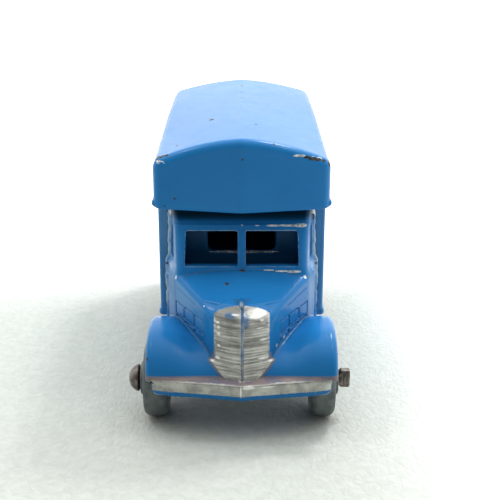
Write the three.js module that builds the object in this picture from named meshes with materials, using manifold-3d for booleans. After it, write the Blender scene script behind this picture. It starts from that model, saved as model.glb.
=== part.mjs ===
// Die-cast toy removal van: a hollow zinc body (bonneted cab, sweeping wings and a
// box body whose roof runs out over the cab), closed underneath by a ladder-frame
// base casting held with two rivets, on four cast wheels that spin on two nail axles.
// Units are millimetres. +Z is up, the van faces -Y, and the origin is on the
// ground under the middle of the van.
import * as THREE from "three";
import { mergeVertices } from "three/addons/utils/BufferGeometryUtils.js";
import { ConvexGeometry } from "three/addons/geometries/ConvexGeometry.js";
import Module from "manifold-3d";

// ---------------------------------------------------------------- dimensions
const NOSE_Y = -27; // foremost point of the bumper
const TAIL_Y = 26.5; // rear face of the box, ahead of the door hinges and latch
const WALL = 1.0; // casting wall

const BOX_HALF = 10.65; // half width of the box body
const BOX_Z0 = 8.6; // lower edge of the box sides
const RIDGE_Z = 33.6; // top of the roof, on the centre line
const RIDGE_SLOPE = 0.1; // roof falls by SLOPE*x + SAG*x*x from the ridge
const RIDGE_SAG = 0.0182;
const BULK_Y = -9.6; // front wall of the box, behind the cab
const LUTON_Z = 24.8; // underside of the roof overhang above the cab
const LUTON_SIDE_Y = -14.5; // overhang front at its corners
const LUTON_NOSE_Y = -16.5; // overhang front on the centre line
const BEAD = 0.18; // how far the side mouldings stand out

const CAB_SILL_Z = 7.0; // lower edge of the cab
const BELT_Z = 16.4; // waist line of the cab
const BROW_Z = 22.4; // crease above the windscreen
const SCREEN_Z = [17.45, 21.75]; // windscreen opening
const SCREEN_HALF = [7.0, 6.8]; // at its lower and upper edge
const MULLION = 0.5; // half width of the windscreen's centre post

const AXLE_Z = 4.65; // wheel centre above the ground
const FRONT_AXLE_Y = -19.6;
const REAR_AXLE_Y = 14.6;
const AXLE_R = 0.8;
const AXLE_BORE_R = 0.87;
const FRONT_FLOAT = -0.28; // where the front axle sits in its end float
const REAR_FLOAT = 0.12;
const WHEEL_R = 4.65;
const FRONT_MID_X = 10.05; // middle of the tread of the front and rear wheels
const REAR_MID_X = 8.85;
const WHEEL_HALF = 1.45; // half of the tread width
const BOSS_REACH = 1.95; // hub boss, from the middle of the tread
const BOSS_R = 2.0;
const WHEEL_SIDES = 28;
const WELL_R = 5.35; // wheel arch radius
const WELL_X = 7.4; // inner wall of the wheel wells
const WING_FOOT_Z = 6.9; // lower edge of the wings ahead of the wheel

const WING_HALF = 11.4; // half width over the front wings
const WING_CY = -19.2; // centre of the wing's side profile
const WING_CZ = 6.2;
const WING_FRONT = 6.2; // reach of the wing ahead of and behind that centre
const WING_REAR = 7.2;
const WING_TOP = 11.95; // crown of the wing
const APRON_TOP = 10.3; // the wing surface close to the bonnet

const BUMPER_Z = [5.15, 7.35];
const BUMPER_HALF = 10.5;
const BUMPER_SIDE_Y = -25.1;

const PLATE_Z = [9.7, 10.5]; // floor of the base casting
const PLATE_HALF = 9.4;
const RAIL_X = [2.4, 4.4]; // ladder frame rails
const RAIL_Z0 = 3.5;
const POST_Y = [-6.7, 23.7]; // rivet posts of the body
const POST_R = 1.7;
const RIVET_R = 0.65;

// ------------------------------------------------------------------- helpers
const wasm = await Module();
wasm.setup();

function solid(geometry) {
  let g = geometry.index ? geometry.toNonIndexed() : geometry.clone();
  g.deleteAttribute("normal");
  g.deleteAttribute("uv");
  g = mergeVertices(g, 1e-4);
  const kept = [];
  for (let i = 0; i < g.index.count; i += 3) {
    const [a, b, c] = [0, 1, 2].map((k) => g.index.getX(i + k));
    if (a !== b && b !== c && c !== a) kept.push(a, b, c);
  }
  return new wasm.Manifold(
    new wasm.Mesh({
      numProp: 3,
      vertProperties: new Float32Array(g.attributes.position.array),
      triVerts: new Uint32Array(kept),
    }),
  );
}

function geometryOf(made) {
  const m = made.getMesh();
  const g = new THREE.BufferGeometry();
  const v = new Float32Array(m.numVert * 3);
  for (let i = 0; i < m.numVert; i++)
    v.set(m.vertProperties.subarray(i * m.numProp, i * m.numProp + 3), i * 3);
  g.setAttribute("position", new THREE.BufferAttribute(v, 3));
  g.setIndex(new THREE.BufferAttribute(new Uint32Array(m.triVerts), 1));
  g.computeVertexNormals();
  return g;
}

const union = (list) => list.reduce((a, b) => a.add(b));
const cut = (from, list) => list.reduce((a, b) => a.subtract(b), from);

function extruded(points, depth, basis, shift) {
  const shape = new THREE.Shape(points.map(([u, v]) => new THREE.Vector2(u, v)));
  const g = new THREE.ExtrudeGeometry(shape, { depth, bevelEnabled: false, curveSegments: 12 });
  g.applyMatrix4(new THREE.Matrix4().makeBasis(...basis));
  g.translate(...shift);
  return solid(g);
}
const V = (x, y, z) => new THREE.Vector3(x, y, z);
// points are (X, Z), drawn from y0 to y1
const prismY = (points, y0, y1) =>
  extruded(points, y1 - y0, [V(1, 0, 0), V(0, 0, 1), V(0, -1, 0)], [0, y1, 0]);
// points are (Y, Z), drawn from x0 to x1
const prismX = (points, x0, x1) =>
  extruded(points, x1 - x0, [V(0, 1, 0), V(0, 0, 1), V(1, 0, 0)], [x0, 0, 0]);
// points are (X, Y), drawn from z0 to z1
const prismZ = (points, z0, z1) =>
  extruded(points, z1 - z0, [V(1, 0, 0), V(0, 1, 0), V(0, 0, 1)], [0, 0, z0]);
function block(x0, x1, y0, y1, z0, z1) {
  const g = new THREE.BoxGeometry(x1 - x0, y1 - y0, z1 - z0);
  g.translate((x0 + x1) / 2, (y0 + y1) / 2, (z0 + z1) / 2);
  return solid(g);
}
function drumX(r, x0, x1, y, z, sides = 32) {
  const g = new THREE.CylinderGeometry(r, r, x1 - x0, sides);
  g.rotateZ(Math.PI / 2);
  g.translate((x0 + x1) / 2, y, z);
  return solid(g);
}
function drumZ(r, x, y, z0, z1, sides = 24) {
  const g = new THREE.CylinderGeometry(r, r, z1 - z0, sides);
  g.rotateX(Math.PI / 2);
  g.translate(x, y, (z0 + z1) / 2);
  return solid(g);
}
const hull = (points) => solid(new ConvexGeometry(points.map((p) => V(...p))));
const bothSides = (points) => points.flatMap(([x, y, z]) => [[x, y, z], [-x, y, z]]);
const mirrored = (points) => [...points, ...points.slice().reverse().map(([x, y]) => [-x, y])];

// ------------------------------------------------------------------ box body
const roofZ = (x) => RIDGE_Z - RIDGE_SLOPE * Math.abs(x) - RIDGE_SAG * x * x;

// half section of the box, from the lower edge up the side and over to the ridge
function boxSection(half, z0, drop, round) {
  const right = [[half, z0]];
  const x1 = half - round;
  const z1 = roofZ(x1) - drop;
  for (let i = 0; i <= 4; i++) {
    const a = (i / 4) * (Math.PI / 2);
    right.push([x1 + round * Math.cos(a), z1 - round + round * Math.sin(a)]);
  }
  for (let i = 7; i >= 1; i--) {
    const x = (x1 * i) / 8;
    right.push([x, roofZ(x) - drop]);
  }
  const left = right.slice().reverse().map(([x, z]) => [-x, z]);
  return [...right, [0, roofZ(0) - drop], ...left];
}

// outline of the box seen from above, with the shallow vee of the overhang
function boxPlan(inset, frontExtra) {
  const h = BOX_HALF - inset;
  const r = 0.9;
  const right = [];
  const slope = (LUTON_SIDE_Y - LUTON_NOSE_Y) / BOX_HALF;
  right.push([0, LUTON_NOSE_Y + frontExtra]);
  right.push([h - 1.4, LUTON_NOSE_Y + frontExtra + slope * (h - 1.4)]);
  right.push([h - 0.55, LUTON_SIDE_Y + frontExtra + 0.15]);
  right.push([h - 0.12, LUTON_SIDE_Y + frontExtra + 0.6]);
  right.push([h, LUTON_SIDE_Y + frontExtra + 1.3]);
  right.push([h, TAIL_Y - inset - r]);
  right.push([h - 0.27, TAIL_Y - inset - 0.27]);
  right.push([h - r, TAIL_Y - inset]);
  const left = right.slice(1).reverse().map(([x, y]) => [-x, y]);
  return [...right, ...left];
}

let boxBody = prismY(boxSection(BOX_HALF, BOX_Z0, 0, 0.8), -20, 40)
  .intersect(prismZ(boxPlan(0, 0), 0, 40))
  .subtract(block(-14, 14, -22, BULK_Y, 0, LUTON_Z));

// side mouldings along the foot of the box and level with the overhang
const beadRight = (z, h) => [
  [BOX_HALF - 0.4, z - h / 2],
  [BOX_HALF + BEAD * 0.6, z - h / 2 + 0.1],
  [BOX_HALF + BEAD, z],
  [BOX_HALF + BEAD * 0.6, z + h / 2 - 0.1],
  [BOX_HALF - 0.4, z + h / 2],
];
const beadLeft = (z, h) => beadRight(z, h).reverse().map(([x, y]) => [-x, y]);
const beads = [
  prismY(beadRight(25.35, 0.9), -12.8, TAIL_Y - 1.2),
  prismY(beadLeft(25.35, 0.9), -12.8, TAIL_Y - 1.2),
  prismY(beadRight(9.15, 0.9), BULK_Y + 0.4, TAIL_Y - 1.2),
  prismY(beadLeft(9.15, 0.9), BULK_Y + 0.4, TAIL_Y - 1.2),
];

// rear doors: two shallow panels, hinge lugs and a latch bar
const rearDoors = [
  block(0.35, 8.7, TAIL_Y - 0.4, TAIL_Y + 0.22, 12.2, 28.2),
  block(-8.7, -0.35, TAIL_Y - 0.4, TAIL_Y + 0.22, 12.2, 28.2),
  block(-0.9, 0.9, TAIL_Y - 0.1, TAIL_Y + 0.5, 18.9, 19.7),
  ...[14, 20, 26].flatMap((z) => [
    block(8.2, 9.5, TAIL_Y - 0.4, TAIL_Y + 0.42, z - 0.35, z + 0.35),
    block(-9.5, -8.2, TAIL_Y - 0.4, TAIL_Y + 0.42, z - 0.35, z + 0.35),
  ]),
  block(-9.0, 9.0, TAIL_Y - 0.4, TAIL_Y + 0.3, 9.6, 10.4),
];

// ------------------------------------------------------------------------ cab
const cabLower = hull(
  bothSides([
    [8.1, -15.1, CAB_SILL_Z],
    [8.35, -14.6, CAB_SILL_Z],
    [9.35, BULK_Y + 0.3, CAB_SILL_Z],
    [8.1, -15.2, BELT_Z],
    [8.45, -14.5, BELT_Z],
    [9.4, BULK_Y + 0.3, BELT_Z],
    [8.0, -15.1, BELT_Z + 0.7],
    [9.15, BULK_Y + 0.3, BELT_Z + 0.7],
  ]),
);
const cabUpper = hull(
  bothSides([
    [7.5, -15.15, BELT_Z],
    [8.35, -14.4, BELT_Z],
    [9.0, BULK_Y + 0.3, BELT_Z],
    [7.3, -14.1, BROW_Z],
    [8.1, -13.3, BROW_Z],
    [8.8, BULK_Y + 0.3, BROW_Z],
    [7.2, -12.9, LUTON_Z + 0.4],
    [7.9, -12.3, LUTON_Z + 0.4],
    [8.7, BULK_Y + 0.3, LUTON_Z + 0.4],
  ]),
);

// --------------------------------------------------------------------- bonnet
const bonnet = hull([
  ...bothSides([
    [8.5, -14.4, 8.0],
    [8.5, -14.4, 16.2],
    [8.25, -14.4, 16.45],
    [3.45, -23.6, 7.4],
    [3.4, -23.6, 14.4],
    [3.1, -23.4, 14.75],
  ]),
  [0, -14.4, 16.95],
  [0, -23.9, 15.2],
]);

// radiator: a vee-fronted block with a rounded cap and a tapering foot
const grille = union([
  hull([
    ...bothSides([
      [3.45, -23.0, 9.6],
      [3.45, -24.5, 9.6],
      [3.4, -23.0, 14.0],
      [3.35, -24.1, 14.0],
    ]),
    [0, -25.6, 9.6],
    [0, -25.0, 14.0],
  ]),
  hull([
    ...bothSides([
      [3.35, -23.0, 13.9],
      [3.35, -24.05, 13.9],
      [2.9, -23.0, 14.9],
      [2.7, -23.6, 14.9],
    ]),
    [0, -24.95, 13.9],
    [0, -24.4, 15.2],
    [0, -23.0, 15.8],
  ]),
  hull([
    ...bothSides([
      [3.3, -24.2, 9.8],
      [3.3, -23.4, 9.8],
      [0.6, -25.5, 6.4],
      [0.6, -24.0, 6.4],
    ]),
    [0, -25.6, 9.8],
    [0, -26.1, 6.4],
  ]),
]);
const grilleGrooves = [9.75, 11.8, 13.8].map((z) =>
  hull([
    ...bothSides([
      [4.2, -24.25, z - 0.15],
      [4.2, -24.25, z + 0.15],
      [4.2, -28, z - 0.15],
      [4.2, -28, z + 0.15],
    ]),
    [0, -25.32 + (z - 9.6) * 0.13, z - 0.15],
    [0, -25.32 + (z - 9.6) * 0.13, z + 0.15],
  ]),
);

// ---------------------------------------------------------------------- wings
// side profile of a wing: an elliptic arch that falls to the bumper in front and
// to the cab step behind
function wingProfile(top, steps = 18) {
  const out = [];
  const foot = Math.asin((WING_FOOT_Z - WING_CZ + 0.15) / (top - WING_CZ));
  for (let i = 0; i <= steps; i++) {
    const a = foot + (i / steps) * (Math.PI - foot);
    const ry = Math.cos(a) > 0 ? WING_FRONT : WING_REAR;
    out.push([WING_CY - ry * Math.cos(a), WING_CZ + (top - WING_CZ) * Math.sin(a)]);
  }
  out.push([WING_CY + WING_REAR, 5.4]);
  out.push([FRONT_AXLE_Y, 5.4]);
  out.push([FRONT_AXLE_Y, WING_FOOT_Z]);
  out.push([WING_CY - WING_FRONT * 0.985, WING_FOOT_Z]);
  return out;
}
const wingInset = (top, d) => wingProfile(top).map(([y, z]) => {
  const dy = y - WING_CY;
  const dz = z - WING_CZ;
  const l = Math.hypot(dy, dz) || 1;
  return z > WING_FOOT_Z || (y > WING_CY && z > 5.5) ? [y - (dy / l) * d, z - (dz / l) * d] : [y, z];
});
const wings = [];
for (const s of [1, -1]) {
  const span = (profile, a, b) => prismX(profile, Math.min(s * a, s * b), Math.max(s * a, s * b));
  wings.push(span(wingProfile(WING_TOP), 8.6, 10.5));
  wings.push(span(wingInset(WING_TOP, 0.3), 8.6, 11.05));
  wings.push(span(wingInset(WING_TOP, 0.95), 7.2, WING_HALF));
  wings.push(span(wingProfile(APRON_TOP + 0.5), 6.4, 8.8));
}
const apron = prismX(wingProfile(APRON_TOP), -8.8, 8.8).add(block(-8.6, 8.6, -25.1, -23.6, 5.3, 7.4));

const bumper = prismZ(
  [
    [0, NOSE_Y],
    [BUMPER_HALF - 0.8, BUMPER_SIDE_Y - 0.15],
    [BUMPER_HALF - 0.15, BUMPER_SIDE_Y + 0.25],
    [BUMPER_HALF, BUMPER_SIDE_Y + 0.8],
    [BUMPER_HALF - 0.3, -24.2],
    [4, -24.6],
    [-4, -24.6],
    [-BUMPER_HALF + 0.3, -24.2],
    [-BUMPER_HALF, BUMPER_SIDE_Y + 0.8],
    [-BUMPER_HALF + 0.15, BUMPER_SIDE_Y + 0.25],
    [-BUMPER_HALF + 0.8, BUMPER_SIDE_Y - 0.15],
  ],
  ...BUMPER_Z,
);

// -------------------------------------------------- hollows of the body casting
const boxHollow = prismY(boxSection(BOX_HALF - WALL, 2, 1.1, 0.5), BULK_Y + WALL, TAIL_Y - WALL);
const cabHollow = hull(
  bothSides([
    [7.1, -13.9, 6],
    [8.2, BULK_Y, 6],
    [7.1, -13.9, 16.6],
    [8.2, BULK_Y, 16.6],
    [6.7, -12.9, 22.6],
    [7.6, BULK_Y, 22.6],
    [6.4, -12.4, 28.4],
    [7.4, BULK_Y, 28.4],
  ]),
);
const frontHollow = prismX(
  [
    [-24.0, 2],
    [-24.0, 6.0],
    [-22.4, 8.0],
    [-20.2, 9.2],
    [-17.5, 9.4],
    [-12.0, 9.4],
    [-12.0, 2],
  ],
  -6.4,
  6.4,
);
const bonnetHollow = hull(
  bothSides([
    [6.6, -14.3, 7],
    [6.5, -14.3, 15.3],
    [2.3, -22.9, 7],
    [2.2, -22.7, 13.2],
    [5.9, -13.0, 7],
    [5.9, -13.0, 15.3],
  ]),
);
const screenPane = (s) =>
  prismY(
    [
      [s * MULLION, SCREEN_Z[0]],
      [s * SCREEN_HALF[0], SCREEN_Z[0]],
      [s * SCREEN_HALF[1], SCREEN_Z[1]],
      [s * MULLION, SCREEN_Z[1]],
    ],
    -18,
    -12,
  );
const roundedOpening = (half, z0, z1, r) => {
  const p = [[half, z1], [-half, z1]];
  for (let i = 0; i <= 4; i++) {
    const a = Math.PI + (i / 4) * (Math.PI / 2);
    p.push([-half + r + r * Math.cos(a), z0 + r + r * Math.sin(a)]);
  }
  for (let i = 0; i <= 4; i++) {
    const a = 1.5 * Math.PI + (i / 4) * (Math.PI / 2);
    p.push([half - r + r * Math.cos(a), z0 + r + r * Math.sin(a)]);
  }
  return p;
};
const openings = [
  screenPane(1),
  screenPane(-1),
  prismX(
    [
      [-13.0, 17.7],
      [-10.9, 17.7],
      [-10.9, 21.7],
      [-12.4, 21.7],
    ],
    -11,
    11,
  ),
  prismY(roundedOpening(4.35, 17.5, 21.6, 0.9), BULK_Y - 0.6, BULK_Y + 1.6),
];
const wheelWells = [];
for (const s of [1, -1]) {
  const a = Math.min(s * WELL_X, s * 13);
  const b = Math.max(s * WELL_X, s * 13);
  wheelWells.push(drumX(WELL_R, a, b, FRONT_AXLE_Y, AXLE_Z, 40));
  wheelWells.push(drumX(WELL_R, a, b, REAR_AXLE_Y, AXLE_Z, 40));
}
const axleSlot = block(-9, 9, FRONT_AXLE_Y - 1.1, FRONT_AXLE_Y + 1.1, 2, 5.8);
const floorNotch = block(-6.4, 6.4, -14.0, BULK_Y + WALL + 0.2, 2, PLATE_Z[1] + 0.3);

// posts that take the base rivets, cast on the front and rear walls
const posts = POST_Y.flatMap((y, i) => [
  drumZ(POST_R, 0, y, PLATE_Z[1] + 0.2, 16.4),
  i === 0
    ? block(-1.0, 1.0, BULK_Y + 0.4, y, PLATE_Z[1] + 0.6, 16.4)
    : block(-1.0, 1.0, y, TAIL_Y - 0.4, PLATE_Z[1] + 0.6, 16.4),
]);
const postBores = POST_Y.map((y) => drumZ(RIVET_R + 0.12, 0, y, 5, 14.6, 16));

const shell = cut(
  union([boxBody, ...beads, ...rearDoors, cabLower, cabUpper, bonnet, apron, ...wings, bumper, grille]),
  [...grilleGrooves, boxHollow, cabHollow, frontHollow, bonnetHollow, floorNotch, axleSlot, ...openings, ...wheelWells],
);
const bodySolid = cut(union([shell, ...posts]), postBores);

// -------------------------------------------------------------- base casting
const railPair = [];
for (const s of [1, -1]) {
  const [a, b] = s > 0 ? RAIL_X : [-RAIL_X[1], -RAIL_X[0]];
  railPair.push(
    prismX(
      [
        [-23.2, 4.4],
        [-22.4, RAIL_Z0],
        [23.2, RAIL_Z0],
        [24.2, 5.2],
        [24.2, PLATE_Z[0] + 0.2],
        [-13.6, PLATE_Z[0] + 0.2],
        [-15.2, 7.0],
        [-23.2, 5.9],
      ],
      a,
      b,
    ),
  );
  const lug = (y, reach) => drumX(1.75, Math.min(s * RAIL_X[0], s * reach), Math.max(s * RAIL_X[0], s * reach), y, AXLE_Z, 24);
  railPair.push(lug(FRONT_AXLE_Y, 6.0), lug(REAR_AXLE_Y, 6.5));
}
const crossMembers = [
  [-22.6, -21.2],
  [-12.6, -11.2],
  [2.0, 3.4],
  [20.4, 21.8],
].map(([a, b]) => block(-RAIL_X[0] - 0.3, RAIL_X[0] + 0.3, a, b, RAIL_Z0 + 0.4, 5.6));
const plate = union([
  prismZ(
    mirrored([
      [6.0, -13.7],
      [6.0, BULK_Y + WALL + 0.25],
      [PLATE_HALF, BULK_Y + WALL + 0.25],
      [PLATE_HALF, TAIL_Y - WALL - 0.25],
    ]),
    ...PLATE_Z,
  ),
]);
const baseSolid = cut(union([plate, ...railPair, ...crossMembers]), [
  drumX(AXLE_BORE_R, -12, 12, FRONT_AXLE_Y, AXLE_Z, 24),
  drumX(AXLE_BORE_R, -12, 12, REAR_AXLE_Y, AXLE_Z, 24),
  ...POST_Y.map((y) => drumZ(RIVET_R + 0.12, 0, y, 5, 14, 16)),
]);

// ------------------------------------------------------- wheels, axles, rivets
// closed section of a wheel, as (radius, distance from the middle of the tread)
function wheelGeometry() {
  const k = 1 / Math.cos(Math.PI / WHEEL_SIDES); // the flats, not the corners, are at WHEEL_R
  const section = [
    [AXLE_BORE_R, -BOSS_REACH],
    [BOSS_R, -BOSS_REACH],
    [BOSS_R + 0.15, -WHEEL_HALF + 0.25],
    [3.5, -WHEEL_HALF + 0.2],
    [3.8, -WHEEL_HALF],
    [4.25 * k, -WHEEL_HALF],
    [WHEEL_R * k, -0.85],
    [WHEEL_R * k, 0.75],
    [4.2 * k, WHEEL_HALF - 0.15],
    [3.7, WHEEL_HALF],
    [3.3, WHEEL_HALF - 0.4],
    [BOSS_R + 0.15, WHEEL_HALF - 0.35],
    [BOSS_R, BOSS_REACH],
    [AXLE_BORE_R, BOSS_REACH],
    [AXLE_BORE_R, -BOSS_REACH],
  ].map(([r, a]) => new THREE.Vector2(r, a));
  const g = new THREE.LatheGeometry(section, WHEEL_SIDES, Math.PI / WHEEL_SIDES);
  g.rotateZ(-Math.PI / 2); // the lathe's axis becomes +X
  return g;
}

// nail axle: domed head at -X, shank, and a crimped flat at +X
function axleSolid(midX) {
  const end = midX + BOSS_REACH + 0.15; // where the head and the crimp begin
  const profile = [
    [0, -end - 1.35],
    [0.55, -end - 1.27],
    [1.05, -end - 1.05],
    [1.45, -end - 0.7],
    [1.68, -end - 0.3],
    [1.68, -end - 0.15],
    [1.5, -end],
    [AXLE_R, -end],
    [AXLE_R, end + 0.15],
    [0, end + 0.15],
  ].map(([r, a]) => new THREE.Vector2(r, a));
  const g = new THREE.LatheGeometry(profile, 24);
  g.rotateZ(-Math.PI / 2);
  const crimp = hull(
    [1, -1].flatMap((sy) =>
      [1, -1].flatMap((sz) => [
        [end + 0.05, sy * 0.7, sz * 0.85],
        [end + 0.3, sy * 0.55, sz * 1.1],
        [end + 1.2, sy * 0.55, sz * 1.1],
        [end + 1.35, sy * 0.45, sz * 0.95],
      ]),
    ),
  );
  return solid(g).add(crimp);
}

function rivetGeometry() {
  const profile = [
    [0, 8.9],
    [0.6, 8.97],
    [1.1, 9.15],
    [1.4, 9.4],
    [1.4, 9.58],
    [RIVET_R, 9.58],
    [RIVET_R, 14.0],
    [0.4, 14.3],
    [0, 14.3],
  ].map(([r, a]) => new THREE.Vector2(r, a));
  const g = new THREE.LatheGeometry(profile, 20);
  g.rotateX(Math.PI / 2); // the lathe's axis becomes +Z
  return g;
}

// ---------------------------------------------------------------- scene graph
const enamel = new THREE.MeshStandardMaterial({ color: 0x2a72b8, roughness: 0.32, metalness: 0.0 });
const castZinc = new THREE.MeshStandardMaterial({ color: 0x565e62, roughness: 0.55, metalness: 0.8 });
const steel = new THREE.MeshStandardMaterial({ color: 0x4b4643, roughness: 0.4, metalness: 1.0 });

const van = new THREE.Group();
function piece(parent, name, geometry, material) {
  const mesh = new THREE.Mesh(geometry, material);
  mesh.name = name;
  parent.add(mesh);
  return mesh;
}

piece(van, "body_casting", geometryOf(bodySolid), enamel);
piece(van, "base_casting", geometryOf(baseSolid), enamel);
POST_Y.forEach((y, i) => {
  const rivet = piece(van, i === 0 ? "front_base_rivet" : "rear_base_rivet", rivetGeometry(), steel);
  rivet.position.set(0, y, 0);
});

for (const [end, y, float, midX] of [
  ["front", FRONT_AXLE_Y, FRONT_FLOAT, FRONT_MID_X],
  ["rear", REAR_AXLE_Y, REAR_FLOAT, REAR_MID_X],
]) {
  const set = new THREE.Group();
  set.position.set(float, y, AXLE_Z);
  van.add(set);
  piece(set, end + "_axle", geometryOf(axleSolid(midX)), steel);
  const left = piece(set, end + "_left_wheel", wheelGeometry(), castZinc);
  left.position.x = -midX;
  left.rotation.y = Math.PI; // its dished face looks outwards
  const right = piece(set, end + "_right_wheel", wheelGeometry(), castZinc);
  right.position.x = midX;
}

export default van;
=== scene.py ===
"""Looks of the die-cast toy van: the CAD frame is loaded, and each node is shown by a finer
mesh in the same place. The two castings are meshed from distance fields (millimetres, van
facing -Y), and the turned pieces are lathed. All meshes are handed over in metres."""
import math

import bmesh
import bpy
import numpy as np
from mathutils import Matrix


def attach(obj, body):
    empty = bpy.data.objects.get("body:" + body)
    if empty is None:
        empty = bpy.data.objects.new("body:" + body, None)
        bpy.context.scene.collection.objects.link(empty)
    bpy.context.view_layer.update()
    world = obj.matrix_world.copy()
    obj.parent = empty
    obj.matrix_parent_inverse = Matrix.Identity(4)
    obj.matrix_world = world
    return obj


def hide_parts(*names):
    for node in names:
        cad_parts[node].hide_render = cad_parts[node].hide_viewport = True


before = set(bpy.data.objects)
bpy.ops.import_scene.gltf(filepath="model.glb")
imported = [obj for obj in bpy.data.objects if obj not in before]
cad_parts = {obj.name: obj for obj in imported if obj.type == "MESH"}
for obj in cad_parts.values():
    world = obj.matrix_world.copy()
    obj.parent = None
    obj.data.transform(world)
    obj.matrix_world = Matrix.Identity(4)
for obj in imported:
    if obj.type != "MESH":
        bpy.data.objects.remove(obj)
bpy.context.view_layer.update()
MM = 0.001
COARSE = 1.0


# ------------------------------------------------------------------ distance fields
def rounded(a, b, r):
    """Both half spaces, their common edge rounded to radius r."""
    return np.minimum(np.maximum(a, b) + r, 0) + np.sqrt(np.maximum(a + r, 0) ** 2 + np.maximum(b + r, 0) ** 2) - r


def joined(a, b, k):
    """Either one, with a fillet about k wide."""
    h = np.maximum(k - np.abs(a - b), 0)
    return np.minimum(a, b) - h * h / (4 * k)


def both(a, b, k):
    return -joined(-a, -b, k)


def cut(a, b, k=0.1):
    """a without b."""
    return -joined(-a, b, k)


def slab(v, lo, hi):
    return np.maximum(lo - v, v - hi)


def ease(v, lo, hi):
    t = np.clip((v - lo) / (hi - lo), 0, 1)
    return t * t * (3 - 2 * t)


def panel(u, v, u0, u1, v0, v1, r):
    """Rounded rectangle in the (u, v) plane."""
    du = np.abs(u - (u0 + u1) / 2) - (u1 - u0) / 2 + r
    dv = np.abs(v - (v0 + v1) / 2) - (v1 - v0) / 2 + r
    return np.minimum(np.maximum(du, dv), 0) + np.sqrt(np.maximum(du, 0) ** 2 + np.maximum(dv, 0) ** 2) - r


AXLE_Z, FRONT_Y, REAR_Y = 4.65, -19.6, 14.6
TAIL = 26.5


def roof_field(ax, y, z):
    """The roof flattens a little from the overhang to the tail."""
    t = ease(y, -14.0, 24.0)
    a, b = 0.1 - 0.043 * t, 0.0182 - 0.0056 * t
    height = 33.64 - 0.15 * t - a * np.sqrt(ax * ax + 0.12) - b * ax * ax
    return (z - height) / np.sqrt(1 + (a + 2 * b * ax) ** 2)


def box_field(ax, y, z):
    vee = np.sqrt(ax * ax + 0.08)
    front = (-16.55 + 0.185 * vee - y) * 0.983
    # the overhang's face leans back a little, with a faint roll along its foot
    front = front + 0.06 * ease(z, 26, 31) - 0.05 * np.exp(-(((z - 25.15) / 0.4) ** 2))
    step = joined(24.66 - z, -9.6 - y, 0.5)
    d = rounded(ax - 10.58 - 0.11 * ease(z, 24.0, 25.2), roof_field(ax, y, z), 0.8 + 0.4 * ease(y, 8.0, 25.0))
    d = rounded(d, front, 1.0)
    d = rounded(d, y - TAIL, 0.5)
    d = rounded(d, step, 0.3)
    d = rounded(d, 8.6 - z, 0.18)
    # half-round mouldings along the sides
    for z0, y0, up, out in ((25.24, -13.7, 0.48, 0.5), (9.15, -9.35, 0.5, 0.36)):
        run = np.maximum(slab(y, y0, TAIL - 1.0), 0)
        e = np.sqrt(((ax - 10.45) / out) ** 2 + ((z - z0) / up) ** 2 + (run / out) ** 2)
        d = joined(d, (e - 1) * out, 0.14)
    # rolled lip of the rear arches
    ring = np.sqrt((np.sqrt((y - REAR_Y) ** 2 + (z - AXLE_Z) ** 2) - 5.72) ** 2 + (ax - 10.52) ** 2) - 0.26
    d = joined(d, np.maximum(ring, 8.62 - z), 0.12)
    return d


def rear_field(d, ax, y, z):
    """Doors, hinges and latch on the tail."""
    f = y - TAIL
    door = np.maximum(panel(ax, z, 0.16, 8.75, 11.9, 28.3, 0.35), slab(f, -0.5, 0.2))
    d = joined(d, door, 0.1)
    for z0, z1 in ((12.9, 19.2), (20.2, 27.4)):
        sunk = np.maximum(panel(ax, z, 1.1, 7.9, z0, z1, 0.35), slab(f, 0.06, 2))
        d = cut(d, sunk, 0.1)
    for zc in (14.0, 20.0, 26.2):
        strap = np.maximum(panel(ax, z, 6.6, 9.45, zc - 0.3, zc + 0.3, 0.25), slab(f, -0.5, 0.3))
        d = joined(d, strap, 0.08)
        knuckle = np.maximum(np.sqrt((ax - 9.25) ** 2 + (f - 0.1) ** 2) - 0.3, np.abs(z - zc) - 0.5)
        d = joined(d, knuckle, 0.08)
    rod = np.maximum(np.sqrt((ax - 0.72) ** 2 + (f - 0.22) ** 2) - 0.17, slab(z, 12.6, 27.7))
    d = joined(d, rod, 0.06)
    for zc in (13.4, 19.7, 26.9):
        keep = np.maximum(panel(ax, z, 0.35, 1.1, zc - 0.25, zc + 0.25, 0.12), slab(f, -0.5, 0.36))
        d = joined(d, keep, 0.06)
    lever = np.maximum(panel(ax, z, 0.6, 2.3, 19.1, 19.45, 0.15), slab(f, 0.1, 0.46))
    d = joined(d, lever, 0.06)
    sill = np.maximum(panel(ax, z, -1, 9.0, 9.5, 10.5, 0.25), slab(f, -0.5, 0.28))
    return joined(d, sill, 0.1)


def screen_planes(y, z):
    lower = (-15.2 + 0.1864 * (z - 16.5) - y) * 0.983
    upper = (-14.1 + 1.1 * (z - 22.4) - y) * 0.673
    return lower, upper


def door_side(ax, y):
    t = np.clip(-9.6 - y, 0, 7)
    return (ax - 9.5 + 0.11 * t + 0.025 * t * t) * 0.97


def cab_field(ax, y, z):
    low = rounded(door_side(ax, y), -15.12 - y, 0.8)
    low = rounded(low, z - 17.1, 0.9)
    low = np.maximum(low, 7.0 - z)
    lo, up = screen_planes(y, z)
    high = rounded(door_side(ax, y) + 0.3 + 0.03 * (z - 17), both(lo, up, 0.8), 0.8)
    high = np.maximum(high, np.maximum(z - 25.3, 14 - z))
    d = joined(low, high, 0.5)
    # raised bead where the windscreen turns back under the overhang
    d = joined(d, np.maximum(np.sqrt((z - 22.42) ** 2 + (d + 0.03) ** 2) - 0.07, y + 12.6), 0.2)
    # uneven flash line down the back of the door
    lip = 0.32 + 0.035 * np.sin(2.3 * z + 0.4) + 0.03 * np.sin(5.3 * z)
    d = joined(d, np.maximum(np.sqrt((y + 10.35) ** 2 + d ** 2) - lip, 8.2 - z), 0.16)
    return np.maximum(d, y + 9.2)


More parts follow.
